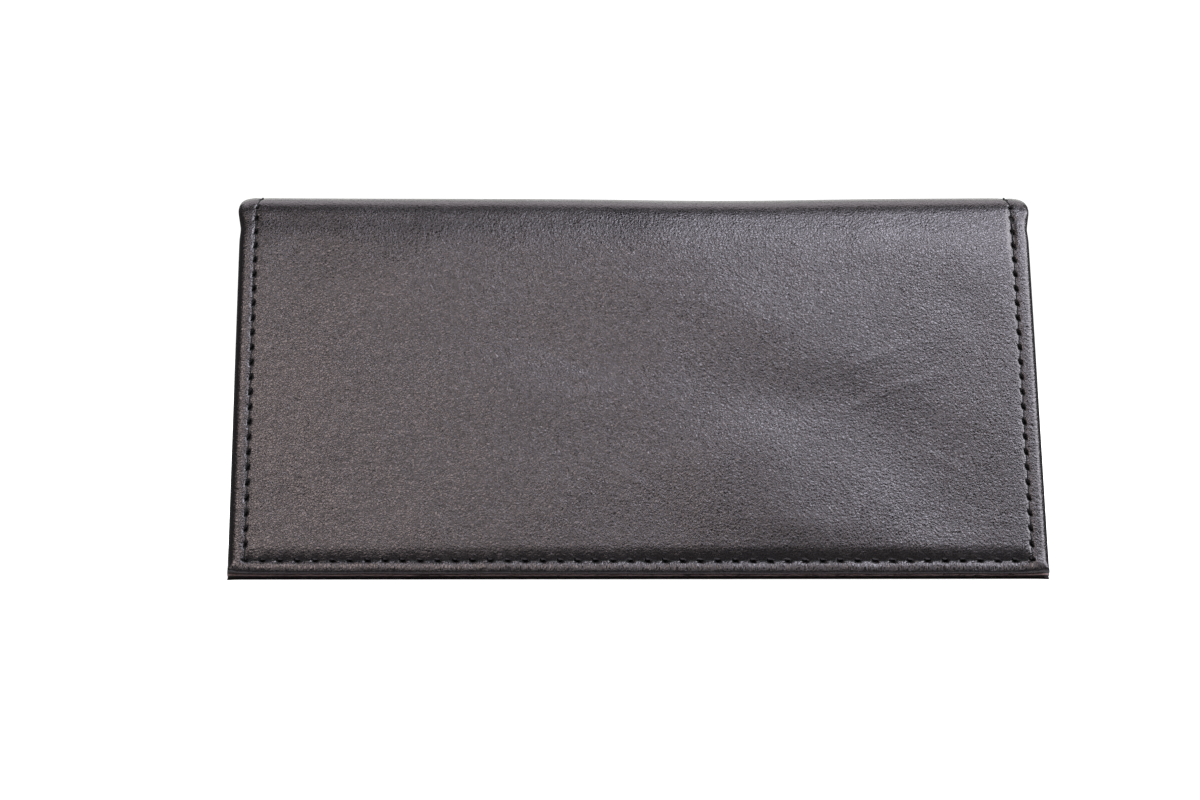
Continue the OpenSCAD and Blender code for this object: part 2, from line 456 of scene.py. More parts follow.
def seam_relief(L, x, s, deep=1.0, sunk=True):
    """Height of the face along the whole seam. A seam that isn't sunk has no welt outside it."""
    q_side = np.abs(x) - L.seam_x + L.draw_in(s)
    q_foot = s - L.seam_s
    bottom = bottom_relief(x, q_foot, sunk) * between_sides(q_side)
    beside = side_relief(L, x, s, q_side, sunk) * smooth(-0.9, 0.9, -q_foot)
    holes = np.zeros_like(x)
    for q, count, pitch, off_end in (
        (q_side, side_count(L, s), L.side_pitch, -q_foot),
        (q_foot, (x + L.seam_x) / L.bottom_pitch, L.bottom_pitch, -q_side),
    ):
        along = (count - np.round(count)) * pitch
        holes = np.maximum(holes, smooth(-0.5, 0.3, off_end) * hole_relief(L, along, q))
    return -deep * (np.maximum(bottom, beside) + holes)


class Shell:
    """A thin piece that is drawn flat, bent into place and then made into an object."""

    def __init__(self, L, side):
        self.L, self.side = L, side
        self.points, self.faces, self.hide, self.seam, self.skin = [], [], [], [], []
        self.count = 0

    def add(self, x, s, v):
        """Adds points and gives their numbers, laid out as x is."""
        x, s, v = (np.broadcast_to(k, np.shape(x)).astype(float) for k in (x, s, v))
        self.points.append(place(self.L, x, s, v, self.side))
        ids = np.arange(self.count, self.count + x.size).reshape(x.shape)
        self.count += x.size
        return ids

    def face(self, ids, hide, seam=None, skin=0):
        """Adds a face with its spots in the hide and seam maps and the number of its material."""
        self.faces.append([int(i) for i in ids])
        self.hide.append(hide)
        self.seam.append(seam or [FAR_FROM_SEAM] * len(ids))
        self.skin.append(skin)

    def finish(self, name, *materials):
        mesh = bpy.data.meshes.new(name)
        order = -1 if self.side > 0 else 1
        points = np.concatenate([k.reshape(-1, 3) for k in self.points])
        mesh.from_pydata(points, [], [ids[::order] for ids in self.faces])
        for label, spots in (("hide", self.hide), ("seam", self.seam)):
            layer = mesh.uv_layers.new(name=label)
            flat = [spot for ring in spots for spot in ring[::order]]
            layer.data.foreach_set("uv", np.array(flat, np.float32).ravel())
        mesh.shade_smooth()
        mesh.update()
        for material in materials:
            mesh.materials.append(material)
        mesh.polygons.foreach_set("material_index", self.skin)
        return link(name, mesh)


def link(name, data):
    """Makes an object of a mesh, a light or a camera and puts it in the scene."""
    obj = bpy.data.objects.new(name, data)
    bpy.context.scene.collection.objects.link(obj)
    return obj


class Rim:
    """The path round a rectangle: down the left side, along the bottom, up the right side and,
    where the piece is closed at the top, back along its mouth."""

    def __init__(self, L, top_s, n_side, closed):
        self.L, self.top_s, self.foot_s = L, top_s, L.foot_s
        self.n_side, self.n_foot, self.closed = n_side, FOOT_COLUMNS, closed
        self.runs = [n_side, FOOT_COLUMNS, n_side] + ([FOOT_COLUMNS] if closed else [])
        self.total = sum(self.runs)
        self.run = np.zeros(self.total + 1, int)
        self.share = np.zeros(self.total + 1)
        start = 0
        for k, n in enumerate(self.runs):
            self.run[start : start + n + 1] = k
            self.share[start : start + n + 1] = np.arange(n + 1) / n
            start += n

    def flat(self, c, d):
        """Flat position of column c at distance d from the edge."""
        run, share = self.run[c], self.share[c]
        half = self.L.half_w - d
        top = self.top_s + d if self.closed else self.top_s
        foot = self.foot_s - d
        if run == 0:
            return -half, top + share * (foot - top)
        if run == 1:
            return -half + share * 2 * half, foot
        if run == 2:
            return half, foot - share * (foot - top)
        return half - share * 2 * half, top


# How the edge of a piece is rounded: the steps round it, the depth of its underside, how far the
# round reaches in, how far it is pushed out, the depth where it starts, how square it is, and how
# far its lip is drawn in. All but the steps are functions of x and s, and two also of the angle.
EdgeForm = namedtuple("EdgeForm", "steps thick reach push top square lip")


class Slab:
    """Fills a Shell with an outer face, a round edge and an inner face.

    outer: distances from the edge of the fine rows, from the middle outwards
    inner: rows behind the edge, each (distance, depth function, stride)
    form: how the edge is rounded
    face_height: height of the outer face above its even surface, a function of x and s
    """

    def __init__(self, shell, rim, outer, inner, form, face_height):
        self.shell, self.rim, self.L = shell, rim, shell.L
        self.columns = np.arange(rim.total + 1)
        self.first = outer[0]
        self.rows, self.strides, self.hide_at = [], [], []
        self.lay_outer(outer, face_height)
        self.lay_round(form, self.first - outer[-1])
        self.lay_inner(inner, self.first - outer[-1] + ROUND_R * math.pi)
        self.ids = [self.add_row(row, stride) for row, stride in zip(self.rows, self.strides)]
        self.join_rows(len(outer), form.steps)

    def row(self, distances):
        """Flat positions of all columns, each at its own distance from the edge."""
        spots = np.array([self.rim.flat(c, d) for c, d in zip(self.columns, distances)])
        return spots[:, 0], spots[:, 1]

    def keep_row(self, x, s, v, d, stride, hide_at):
        self.rows.append((x, s, v, d))
        self.strides.append(stride)
        self.hide_at.append(hide_at)

    def lay_outer(self, outer, face_height):
        for distance in outer:
            d = np.full(len(self.columns), float(distance))
            x, s = self.row(d)
            self.keep_row(x, s, -face_height(x, s), d, 1, self.first - distance)

    def lay_round(self, form, start):
        x0, s0 = self.row(np.zeros(len(self.columns)))
        top, reach, square = form.top(x0, s0), form.reach(x0, s0), form.square(x0, s0)
        half_t = (form.thick(x0, s0) - top) / 2
        for phi in [math.pi * i / form.steps for i in range(1, form.steps + 1)]:
            push = form.push(x0, s0, phi)
            bend = abs(math.cos(phi)) ** square * math.copysign(1, math.cos(phi))
            bow = max(math.sin(phi), 0.0) ** square
            d = reach * (1 - bow) - push * math.sin(phi) - form.lip(x0, s0, phi)
            x, s = self.row(d)
            v = top + half_t * (1 - bend) - push * math.cos(phi)
            self.keep_row(x, s, v, d, 1, start + ROUND_R * phi)

    def lay_inner(self, inner, start):
        for k, (distance, depth, stride) in enumerate(inner):
            d = np.full(len(self.columns), float(distance))
            x, s = self.row(d)
            self.keep_row(x, s, depth(x, s), d, stride, start + INNER_STEP * (k + 1))

    def add_row(self, row, stride):
        """Adds every stride-th point of a row and gives the numbers by column, -1 where none is."""
        x, s, v, _ = row
        ids = np.full(x.shape, -1)
        kept = self.columns[::stride]
        ids[kept] = self.shell.add(x[kept], s[kept], v[kept])
        if self.rim.closed:
            ids[self.rim.total] = ids[0]
        return ids

    def maps(self, run, j, c):
        """Spots of column c of row j in the hide map and in the seam map."""
        L = self.L
        x, s, _, d = (k[c] for k in self.rows[j])
        spread = self.hide_at[j] - self.first
        if run == 1:
            return (x, self.rim.foot_s + spread), ((x + L.seam_x) / L.bottom_pitch, L.bottom_inset - d)
        if run == 3:
            return (x, self.rim.top_s - spread), FAR_FROM_SEAM
        end = run - 1
        q = L.side_inset - d + float(L.draw_in(s))
        return (end * (L.half_w + spread), s), (float(side_count(L, s)), q)

    def skin_of(self, run, j, seam, n_outer, steps):
        """Which material a face has: 0 the hide, 1 the rubbed edge, 2 the inside of a hole."""
        if j < n_outer:
            count, q = np.mean(seam, axis=0)
            along = (count - np.round(count)) * self.L.side_pitch
            pierced = run < 3 and abs(along) < 0.5 * self.L.hole_l and abs(q - SLIT_LEAN * along) < 0.3
            return 2 if pierced else 0
        return int(n_outer + steps // 3 <= j < n_outer + steps)

    def join_rows(self, n_outer, steps):
        """Adds the faces between each row and the next, also where their strides differ."""
        bounds = np.cumsum([0] + self.rim.runs)
        for j in range(1, len(self.rows)):
            near_stride, far_stride = self.strides[j], self.strides[j - 1]
            step = max(near_stride, far_stride)
            for run, (first, last) in enumerate(zip(bounds, bounds[1:])):
                for c in range(first, last, step):
                    corners = [(j, k) for k in range(c, c + step + 1, near_stride)]
                    corners += [(j - 1, k) for k in range(c, c + step + 1, far_stride)][::-1]
                    hide, seam = zip(*(self.maps(run, row, k) for row, k in corners))
                    skin = self.skin_of(run, j, seam, n_outer, steps)
                    self.shell.face([self.ids[row][k] for row, k in corners], hide, seam, skin)

    def fill(self, j, row_pick, col_pick, height, back=False):
        """Fills the middle with a plain grid whose border is row j of the rim."""
        x, s, _, _ = self.rows[j]
        n, m = self.rim.n_side, self.rim.n_foot
        closed, stride, border = self.rim.closed, self.strides[j], self.ids[j]
        left, foot = border[: n + 1], border[n : n + m + 1]
        right = border[n + m : 2 * n + m + 1][::-1]
        grid_x, grid_s = x[n : n + m + 1], s[: n + 1]
        first = 1 if closed else 0
        X, Y = np.meshgrid(grid_x[col_pick[1:-1]], grid_s[row_pick[first:-1]])
        made = self.shell.add(X, Y, height(X, Y))
        grid = np.full((len(row_pick), len(col_pick)), -1)
        grid[first:-1, 1:-1] = made
        grid[:, 0], grid[:, -1], grid[-1] = left[row_pick], right[row_pick], foot[col_pick]
        spot = dict(zip(made.ravel().tolist(), zip(X.ravel(), Y.ravel())))
        for k in range(n + 1):
            spot[int(left[k])] = (grid_x[0], grid_s[k])
            spot[int(right[k])] = (grid_x[-1], grid_s[k])
        for k in range(m + 1):
            spot[int(foot[k])] = (grid_x[k], grid_s[-1])
        if closed:
            top = border[2 * n + m :][::-1]
            grid[0] = top[col_pick]
            for k in range(m + 1):
                spot[int(top[k])] = (grid_x[k], grid_s[0])

        for i, (r0, r1) in enumerate(zip(row_pick, row_pick[1:])):
            for k, (c0, c1) in enumerate(zip(col_pick, col_pick[1:])):
                ring = [grid[i, k]]
                if k == 0:
                    ring += [left[r] for r in range(r0 + stride, r1, stride)]
                ring.append(grid[i + 1, k])
                if i == len(row_pick) - 2:
                    ring += [foot[c] for c in range(c0 + stride, c1, stride)]
                ring.append(grid[i + 1, k + 1])
                if k == len(col_pick) - 2:
                    ring += [right[r] for r in range(r1 - stride, r0, -stride)]
                ring.append(grid[i, k + 1])
                if i == 0 and closed:
                    ring += [top[c] for c in range(c1 - stride, c0, -stride)]
                ring = ring[::-1] if back else ring
                self.shell.face(ring, [spot[int(point)] for point in ring])


def pick(n, step, extra=()):
    """Columns of a plain grid: every step-th, with a few more where they are asked for."""
    return sorted(set(range(0, n + 1, step)) | set(extra))


def make_leather(L, label, side, *materials):
    """One half of the hide: its face, its round edge and the strip turned in behind the edge."""

    def height(x, s):
        return face_relief(L, x, s, side) + seam_relief(L, x, s)

    def thick(x, s):
        return L.edge_depth(s)

    def under(x, s):
        bare = L.leather_t + 0.02
        return bare + (L.turn_v - bare) * smooth(L.arc - 0.4, L.arc + 0.8, s)

    def floor(x, s):
        return np.full(np.shape(x), L.leather_t)

    def reach(x, s):
        return 1.62 - 0.27 * smooth(L.arc - 3, L.arc + 5, s)

    def push(x, s, phi):
        foot = smooth(L.foot_s - 3, L.foot_s - 0.2, s)
        along = np.where(foot > 0.5, x, s)
        coarse = ripple(along, s * 0 + phi * 0.9, 12.4 + side, 1.1)
        fine = 0.6 * ripple(along, s * 0 + phi * 1.5, 2.2, 0.45)
        crinkle = hill((phi - 1.9) / 0.75) * (0.07 * foot + 0.008) * (coarse + fine)
        wave = 0.05 * ripple(along, s * 0, 5.5 + side, 16) * foot
        slack = 0.42 * hill((s - 5.0) / 3.4) - 0.2 * hill((s - L.arc - 2.4) / 1.8)
        ear = 0.15 * np.exp(-np.hypot(L.half_w - np.abs(x), L.foot_s - s) / 0.9) * hill((phi - 2.7) / 0.7)
        return crinkle + wave + slack * math.sin(phi) * (1 - foot) + ear

    def top(x, s):
        return neck(L, s) + np.maximum(foot_welt(L, x), side_step(L, x, s) * (np.abs(x) > L.seam_x))

    def square(x, s):
        return 1 - 0.64 * smooth(L.foot_s - 2, L.foot_s - 0.2, s)

    def lip(x, s, phi):
        bottom = smooth(L.foot_s - 1.1, L.foot_s - 0.05, s) * smooth(0.3, 3.0, L.half_w - np.abs(x))
        return 0.38 * bottom * hill((phi - 1.0) / 0.6)

    outer = [6.6, 5.9, 5.35, 4.95, 4.62, 4.34, 4.1, 3.88, 3.66]
    outer += [3.44, 3.22, 3.0, 2.78, 2.56, 2.34, 2.12, 1.9, 1.7]
    inner = [(d, thick, 4) for d in (2.6, 3.4, 4.4, L.turn_w - 0.1)]
    inner += [(L.turn_w, under, 4), (1.3, under, 12), (1.3, floor, 12), (8.0, floor, 12)]
    form = EdgeForm(LEATHER_ROUND, thick, reach, push, top, square, lip)
    shell = Shell(L, side)
    slab = Slab(shell, Rim(L, 0.0, LEATHER_SIDE, closed=False), outer, inner, form, height)
    slab.fill(0, pick(LEATHER_SIDE, 4, (1, 2)), pick(FOOT_COLUMNS, 4), lambda x, s: -height(x, s))
    slab.fill(-1, pick(LEATHER_SIDE, 12), pick(FOOT_COLUMNS, 12), floor, back=True)
    return shell.finish(f"{label}_leather", *materials)


def make_pocket(L, label, side, *materials):
    """One pocket: its face towards the other panel, its round edge and its turned hems."""
    touch = 1e-6

    def height(x, s):
        return seam_relief(L, x, s, 0.7, False) + 0.05 * ripple(x, s, 20 + side, 18) - L.panel_t

    def level(x, s):
        on_mouth = (s < L.mouth_s + L.hem_w + 1) & (np.abs(x) < L.half_w - (s - L.mouth_s) - touch)
        return np.where(on_mouth, L.hem_v, L.pocket_v)

    def thick(x, s):
        return np.where((s < L.mouth_s + touch) & (np.abs(x) < L.half_w - touch), L.hem_v, L.pocket_v)

    def push(x, s, phi):
        ear = 0.2 * np.exp(-np.hypot(L.half_w - np.abs(x), L.foot_s - s) / 0.8) * hill((phi - 1.2) / 0.9)
        return 0.015 * ripple(x + s, s * 0 + phi, 9.3 + side, 1.4) + ear

    def sheet(x, s):
        return np.full(np.shape(x), L.sheet_v)

    outer = [6.6, 5.4, 4.7, 4.25, 3.9, 3.62, 3.36, 3.1, 2.84, 2.58, 2.32, 2.06, 1.6, 1.15]
    inner = [(1.2, level, 12), (L.hem_w - 0.1, level, 12), (L.hem_w, sheet, 12)]
    form = EdgeForm(
        steps=POCKET_ROUND,
        thick=thick,
        reach=lambda x, s: 0.8 + 0 * x,
        push=push,
        top=lambda x, s: L.panel_t,
        square=lambda x, s: 1.0,
        lip=lambda x, s, phi: 0.0,
    )
    shell = Shell(L, side)
    slab = Slab(shell, Rim(L, L.mouth_s, POCKET_SIDE, closed=True), outer, inner, form, height)
    slab.fill(0, pick(POCKET_SIDE, 12), pick(FOOT_COLUMNS, 12), lambda x, s: -height(x, s))
    slab.fill(-1, pick(POCKET_SIDE, 24), pick(FOOT_COLUMNS, 24), sheet, back=True)
    return shell.finish(f"{label}_pocket_leather", *materials)


def lining_size(L):
    """Half the lining's width, and its length from the middle of the fold to its bottom edge."""
    return L.half_w - L.turn_w - GLUE_LINE, L.foot_s - L.turn_w - GLUE_LINE


def make_lining(L, label, side, material):
    """One half of the lining cloth, taut over the board inside the turned edges."""
    half, end = lining_size(L)
    fold_v = L.leather_t + GLUE_LINE
    over_fold = np.linspace(0, L.arc + 1.6, 22)
    down_panel = np.linspace(L.arc + 3, end - 0.2, 44)
    across = np.linspace(-half + 0.2, half - 0.2, 64)
    X, Y = np.meshgrid(np.r_[-half, across, half], np.r_[over_fold, down_panel, end])
    back_v = fold_v + smooth(L.arc - 0.9, L.arc + 0.9, Y) * (L.turn_v - fold_v)
    soft = 0.02 * ripple(X, Y, 31 + side, 9)
    shell = Shell(L, side)
    back = shell.add(X, Y, back_v)
    front = shell.add(X, Y, back_v + L.lining_t + soft)
    n, m = X.shape

    def flat(cells):
        return [(X[c], Y[c]) for c in cells]

    for i in range(n - 1):
        for j in range(m - 1):
            cells = [(i, j), (i + 1, j), (i + 1, j + 1), (i, j + 1)]
            shell.face([back[c] for c in cells], flat(cells))
            shell.face([front[c] for c in cells[::-1]], flat(cells[::-1]))
    edge = [(i, 0) for i in range(n)] + [(n - 1, j) for j in range(1, m)]
    edge += [(i, m - 1) for i in range(n - 2, -1, -1)] + [(0, j) for j in range(m - 2, -1, -1)]
    for a, b in zip(edge, edge[1:]):
        shell.face([front[a], front[b], back[b], back[a]], flat([a, b, b, a]))
    return shell.finish(f"{label}_lining_cloth", material)


def stitch_points(first, last, sunk, depth):
    """Run and depth of one stitch that rises from one needle hole and dives into the next."""
    t = np.array([0, 0.07, 0.13, 0.19, 0.25, 0.38, 0.5, 0.62, 0.75, 0.81, 0.87, 0.93, 1])
    run = first + (last - first) * (0.08 + 0.84 * t)
    rise = smooth(0.0, 0.27, t) * smooth(0.0, 0.27, 1 - t)
    return run, sunk + depth * (1 - rise)


class Stitches:
    """The stitches of one thread, each a tube of its own."""

    ring = 7
    flat_share, wide_share = 0.85, 1.1

    def __init__(self, L, side):
        self.L, self.side = L, side
        self.points, self.faces, self.maps = [], [], []

    def add(self, x, s, v):
        """Adds a tube along flat points, a little flattened against the leather."""
        path = place(self.L, x, s, v, self.side) / MM
        below = place(self.L, x, s, v + 0.2, self.side) / MM
        step = np.gradient(path, axis=0)
        step /= np.linalg.norm(step, axis=1)[:, None]
        up = path - below
        up -= (up * step).sum(1)[:, None] * step
        up /= np.linalg.norm(up, axis=1)[:, None]
        across = np.cross(step, up)
        base = sum(len(k) for k in self.points)
        run = np.r_[0, np.cumsum(np.linalg.norm(np.diff(path, axis=0), axis=1))]
        lines = []
        for k in range(self.ring):
            turn = 2 * math.pi * k / self.ring
            lift = self.flat_share * math.sin(turn) * up + self.wide_share * math.cos(turn) * across
            lines.append(path + self.L.thread_r * lift)
        self.points.append(np.stack(lines, 1).reshape(-1, 3))

        def spot(i, k):
            return run[i], k / self.ring

        for i in range(len(path) - 1):
            here, there = base + i * self.ring, base + (i + 1) * self.ring
            for k in range(self.ring):
                after = (k + 1) % self.ring
                self.faces.append([here + k, there + k, there + after, here + after])
                self.maps.append([spot(i, k), spot(i + 1, k), spot(i + 1, k + 1), spot(i, k + 1)])
        for i, order in ((0, 1), (len(path) - 1, -1)):
            self.faces.append([base + i * self.ring + k for k in range(self.ring)][::order])
            self.maps.append([spot(i, k) for k in range(self.ring)][::order])

    def finish(self, name, material):
        mesh = bpy.data.meshes.new(name)
        mesh.from_pydata(np.concatenate(self.points) * MM, [], self.faces)
        layer = mesh.uv_layers.new(name="hide")
        flat = [spot for ring in self.maps for spot in ring]
        layer.data.foreach_set("uv", np.array(flat, np.float32).ravel())
        mesh.shade_smooth()
        mesh.materials.append(material)
        return link(name, mesh)


def side_holes(L):
    """Where the needle went in down one side, from the top of the fold to the bottom seam."""
    over_fold = [L.arc - k * L.fold_pitch for k in range(L.fold_stitches)]
    down_panel = [L.arc + (k + 1) * L.side_pitch for k in range(L.side_stitches)]
    return [0.0] + [s for s in over_fold[::-1] if s > 0] + down_panel


def make_thread(L, label, side, material, inside):
    """One half of the needle thread on the outside, or of the bobbin thread on the inside."""
    stitches = Stitches(L, side)
    sunk, depth = 0.06, 0.42
    holes = side_holes(L)
    for end in (-1, 1):
        for a, b in zip(holes, holes[1:]):
            if a == 0.0:
                run, v = stitch_points(-b, b, 0.03, 0.45)
                run, v = run[run >= 0], v[run >= 0]
            else:
                run, v = stitch_points(a, b, sunk, depth)
            if not inside:
                v = v + (side_dip(end) if a else 0.0) + neck(L, run)
            elif (a + b) / 2 > L.mouth_s:
                v = L.panel_t - 0.09 - v
            else:
                v = L.edge_depth((a + b) / 2) - v
            x = end * (L.seam_x - L.draw_in(run) + 0.05 * np.sin(run * 1.7 + end))
            stitches.add(x, run, v)
    for k in range(L.bottom_stitches):
        first = -L.seam_x + k * L.bottom_pitch
        run, v = stitch_points(first, first + L.bottom_pitch, sunk, depth)
        if inside:
            v = L.panel_t - 0.11 - v
        else:
            v = v + foot_dip(run) * between_sides(np.abs(run) - L.seam_x)
        stitches.add(run, L.seam_s + 0.05 * np.sin(run * 1.3), v)
    return stitches.finish(f"{label}_{'bobbin' if inside else 'needle'}_thread", material)


def shade(colour, share=1.0):
    """A colour made darker or lighter, as a shader socket takes it."""
    return (*(share * k for k in colour), 1)


class Nodes:
    """Small helper that adds and links the nodes of one material."""

    def __init__(self, name):
        self.material = bpy.data.materials.get(name) or bpy.data.materials.new(name)
        self.material.use_nodes = True
        self.tree = self.material.node_tree
        self.tree.nodes.clear()
        out = self.tree.nodes.new("ShaderNodeOutputMaterial")
        self.skin = self.tree.nodes.new("ShaderNodeBsdfPrincipled")
        self.tree.links.new(self.skin.outputs["BSDF"], out.inputs["Surface"])

    def node(self, kind, inputs=None, **settings):
        n = self.tree.nodes.new(f"ShaderNode{kind}")
        for key, value in settings.items():
            setattr(n, key, value)
        for key, value in (inputs or {}).items():
            self.put(n.inputs[key], value)
        return n

    def put(self, socket, value):
        if isinstance(value, bpy.types.NodeSocket):
            self.tree.links.new(value, socket)
        else:
            socket.default_value = value

    def map(self, name):
        return self.node("UVMap", uv_map=name).outputs[0]

    def parts(self, vector):
        """The x and y parts of a vector."""
        return self.node("SeparateXYZ", {0: vector}).outputs[:2]

    def math(self, op, a, b=0.0):
        n = self.node("Math", operation=op)
        self.put(n.inputs[0], a)
        self.put(n.inputs[1], b)
        return n.outputs[0]

    def add(self, a, b):
        return self.math("ADD", a, b)

    def less(self, a, b):
        return self.math("SUBTRACT", a, b)

    def times(self, a, b):
        return self.math("MULTIPLY", a, b)

    def size(self, a):
        return self.math("ABSOLUTE", a)

    def ramp(self, value, lo, hi, to_lo=0.0, to_hi=1.0):
        ends = {"From Min": lo, "From Max": hi, "To Min": to_lo, "To Max": to_hi}
        return self.node("MapRange", {"Value": value, **ends}, interpolation_type="SMOOTHSTEP").outputs[0]

    def mix(self, share, a, b):
        return self.node("Mix", {0: share, 6: a, 7: b}, data_type="RGBA").outputs[2]

    def noise(self, where, size, detail=3.0, rough=0.5, stretch=(1, 1, 1)):
        m = self.node("Mapping", {"Vector": where, "Scale": tuple(k / size for k in stretch)})
        inputs = {"Vector": m.outputs[0], "Scale": 1.0, "Detail": detail, "Roughness": rough}
        return self.node("TexNoise", inputs).outputs[0]

    def bump(self, height, depth, strength=1.0):
        """Raises the skin by a height map that is depth millimetres high."""
        n = self.node("Bump", {"Strength": strength, "Distance": depth * MM, "Height": height})
        self.put(self.skin.inputs["Normal"], n.outputs[0])

    def finish(self, tone, roughness, **more):
        """Sets the skin's colour, roughness and what else is given, and gives the material."""
        self.put(self.skin.inputs["Base Color"], tone)
        self.put(self.skin.inputs["Roughness"], roughness)
        for key, value in more.items():
            self.put(self.skin.inputs[key.replace("_", " ")], value)
        return self.material


def edge_material(L, name, colour):
    """Leather that is creased and rubbed where it is folded over an edge, with painted shade in its crease
    hollows and a painted glint line along the underside of the bottom edge.
    """
    n = Nodes(name)
    hide = n.map("hide")
    _, down = n.parts(hide)
    crease = n.noise(hide, 0.55, 4.0, 0.65)
    fold = n.noise(hide, 1.7, 3.0, 0.6)
    underside = n.ramp(n.size(n.less(down, L.foot_s + 0.55)), 0.05, 0.2, 1.0, 0.0)
    # painted glint: a pinkish light streak painted along the underside of the bottom edge, where a ridge
    # would catch the light
    painted_glint = n.times(underside, n.ramp(n.noise(hide, 6.0, 4.0, 0.65), 0.3, 0.55))
    # painted shade: the hollows of the crease noise are painted darker
    tone = n.mix(n.ramp(crease, 0.38, 0.68), shade(colour, 0.35), shade(colour))
    tone = n.mix(painted_glint, tone, (0.27, 0.18, 0.18, 1))
    n.bump(n.add(crease, n.times(fold, 0.8)), 0.16)
    n.put(n.skin.inputs["Specular IOR Level"], 0.38)
    return n.finish(tone, n.ramp(fold, 0.3, 0.7, 0.26, 0.5))


def hole_material():
    """The inside of a needle hole, painted near black as shade."""
    n = Nodes("needle_hole")
    fluff = n.noise(n.map("hide"), 0.15, 2.0)
    n.put(n.skin.inputs["Specular IOR Level"], 0.05)
    return n.finish(n.mix(fluff, (0.0005, 0.0005, 0.0005, 1), (0.0022, 0.002, 0.002, 1)), 0.9)


def leather_material(L, name, colour, worn, grain, depth):
    """Black leather with pebbled grain and soft mottling, with painted shade in its pores, along the stitch
    groove and in the needle slits.
    """
    n = Nodes(name)
    hide = n.map("hide")
    warp = n.node("TexNoise", {"Vector": hide, "Scale": 0.55, "Detail": 2.0}).outputs[1]
    shift = n.node("VectorMath", {0: warp, 1: (0.5, 0.5, 0.5)}, operation="SUBTRACT").outputs[0]
    shift = n.node("VectorMath", {0: shift, 3: 0.9}, operation="SCALE").outputs[0]
    where = n.node("VectorMath", {0: hide, 1: shift}, operation="ADD").outputs[0]
    spacing = {"Vector": where, "Scale": 1 / grain, "Randomness": 1.0}
    cells = n.node("TexVoronoi", spacing, feature="DISTANCE_TO_EDGE")
    pebble = n.ramp(cells.outputs["Distance"], 0.02, 0.2)
    pore = n.less(1.0, pebble)
    patch = n.noise(hide, 22.0, 3.0, 0.5)
    pull = n.noise(where, grain, 1.0, 0.5, (1.0, 0.85, 1.0))
    relief = n.add(n.times(pebble, n.ramp(patch, 0.3, 0.7, 0.12, 0.17)), n.times(pull, 1.05))
    relief = n.add(relief, n.times(n.noise(hide, 2.6, 3.0, 0.55), 0.6))

    count, off = n.parts(n.map("seam"))
    along = n.times(n.less(n.math("FRACT", n.add(count, 0.5)), 0.5), L.side_pitch)
    in_length = n.ramp(n.size(along), 0.42 * L.hole_l, 0.6 * L.hole_l, 1.0, 0.0)
    in_width = n.ramp(n.size(n.less(off, n.times(along, SLIT_LEAN))), 0.26, 0.42, 1.0, 0.0)
    slit = n.times(in_length, in_width)
    track = n.ramp(n.size(off), 0.12, 0.42, 1.0, 0.0)

    mottle = n.noise(hide, 30.0, 4.0, 0.6)
    tone = n.mix(n.ramp(mottle, 0.3, 0.75, 0.0, 0.55), shade(colour), shade(worn))
    # painted shade: the pores between the pebbles are painted darker
    tone = n.mix(n.times(pore, 0.5), tone, shade(colour, 0.5))
    # painted shade: a darker band along the sunk stitch groove under the thread
    tone = n.mix(n.times(track, 0.2), tone, shade(colour, 0.4))
    # painted shade: the needle slits are painted near black, where the inside of the hole lies in shade
    tone = n.mix(slit, tone, (0.0012, 0.0012, 0.0012, 1))
    satin = n.add(n.ramp(patch, 0.3, 0.7, 0.13, 0.16), n.times(pore, 0.2))
    n.bump(relief, depth)
    n.put(n.skin.inputs["Specular IOR Level"], 0.5)
    n.put(n.skin.inputs["Specular Tint"], (1.0, 0.91, 0.96, 1))
    return n.finish(tone, n.math("MAXIMUM", satin, n.times(slit, 0.95)))


def thread_material(colour):
    """Waxed thread of two twisted plies, with painted shade in the gaps between the plies."""
    n = Nodes("thread")
    where = n.map("hide")
    run, turn = n.parts(where)
    twist = n.add(n.times(run, 9.5), n.times(turn, 2 * math.pi))
    ply = n.size(n.math("SINE", twist))
    fuzz = n.noise(where, 0.12, 3.0, 0.6)
    n.bump(n.add(ply, n.times(fuzz, 0.3)), 0.05)
    n.put(n.skin.inputs["Specular IOR Level"], 0.2)
    # painted shade: the gaps between the plies are painted darker
    tone = n.mix(n.ramp(ply, 0.0, 0.6), shade(colour, 0.3), shade(colour))
    return n.finish(tone, n.ramp(fuzz, 0.3, 0.7, 0.5, 0.7))


def lining_material(colour):
    """Plain-woven charcoal cloth, with the yarn crowns painted lighter and the gaps between the yarns
    painted darker as shade.
    """
    yarn = 0.38
    n = Nodes("lining_cloth")
    where = n.map("hide")
    x, s = n.parts(where)
    wobble = n.times(n.noise(where, 2.5, 2.0), 0.3)
    a = n.times(n.add(x, wobble), math.pi / yarn)
    b = n.times(n.add(s, wobble), math.pi / yarn)
    over = n.times(n.math("SINE", a), n.math("SINE", b))
    warp = n.times(n.size(n.math("COSINE", a)), n.ramp(over, -0.2, 0.2))
    weft = n.times(n.size(n.math("COSINE", b)), n.ramp(over, 0.2, -0.2))
    weave = n.add(warp, weft)
    slub = n.noise(where, 0.9, 3.0, 0.6, (0.12, 1.0, 1.0))
    # painted light and shade: yarn crowns painted lighter, gaps between yarns painted darker
    tone = n.mix(n.ramp(weave, 0.0, 1.0), shade(colour, 0.35), shade(colour, 1.25))
    tone = n.mix(n.ramp(slub, 0.45, 0.75, 0.0, 0.5), tone, shade(colour, 1.7))
    n.bump(n.add(weave, n.times(slub, 0.4)), 0.06)
    n.put(n.skin.inputs["Sheen Weight"], 0.25)
    return n.finish(tone, n.ramp(weave, 0.0, 1.0, 0.85, 0.68))


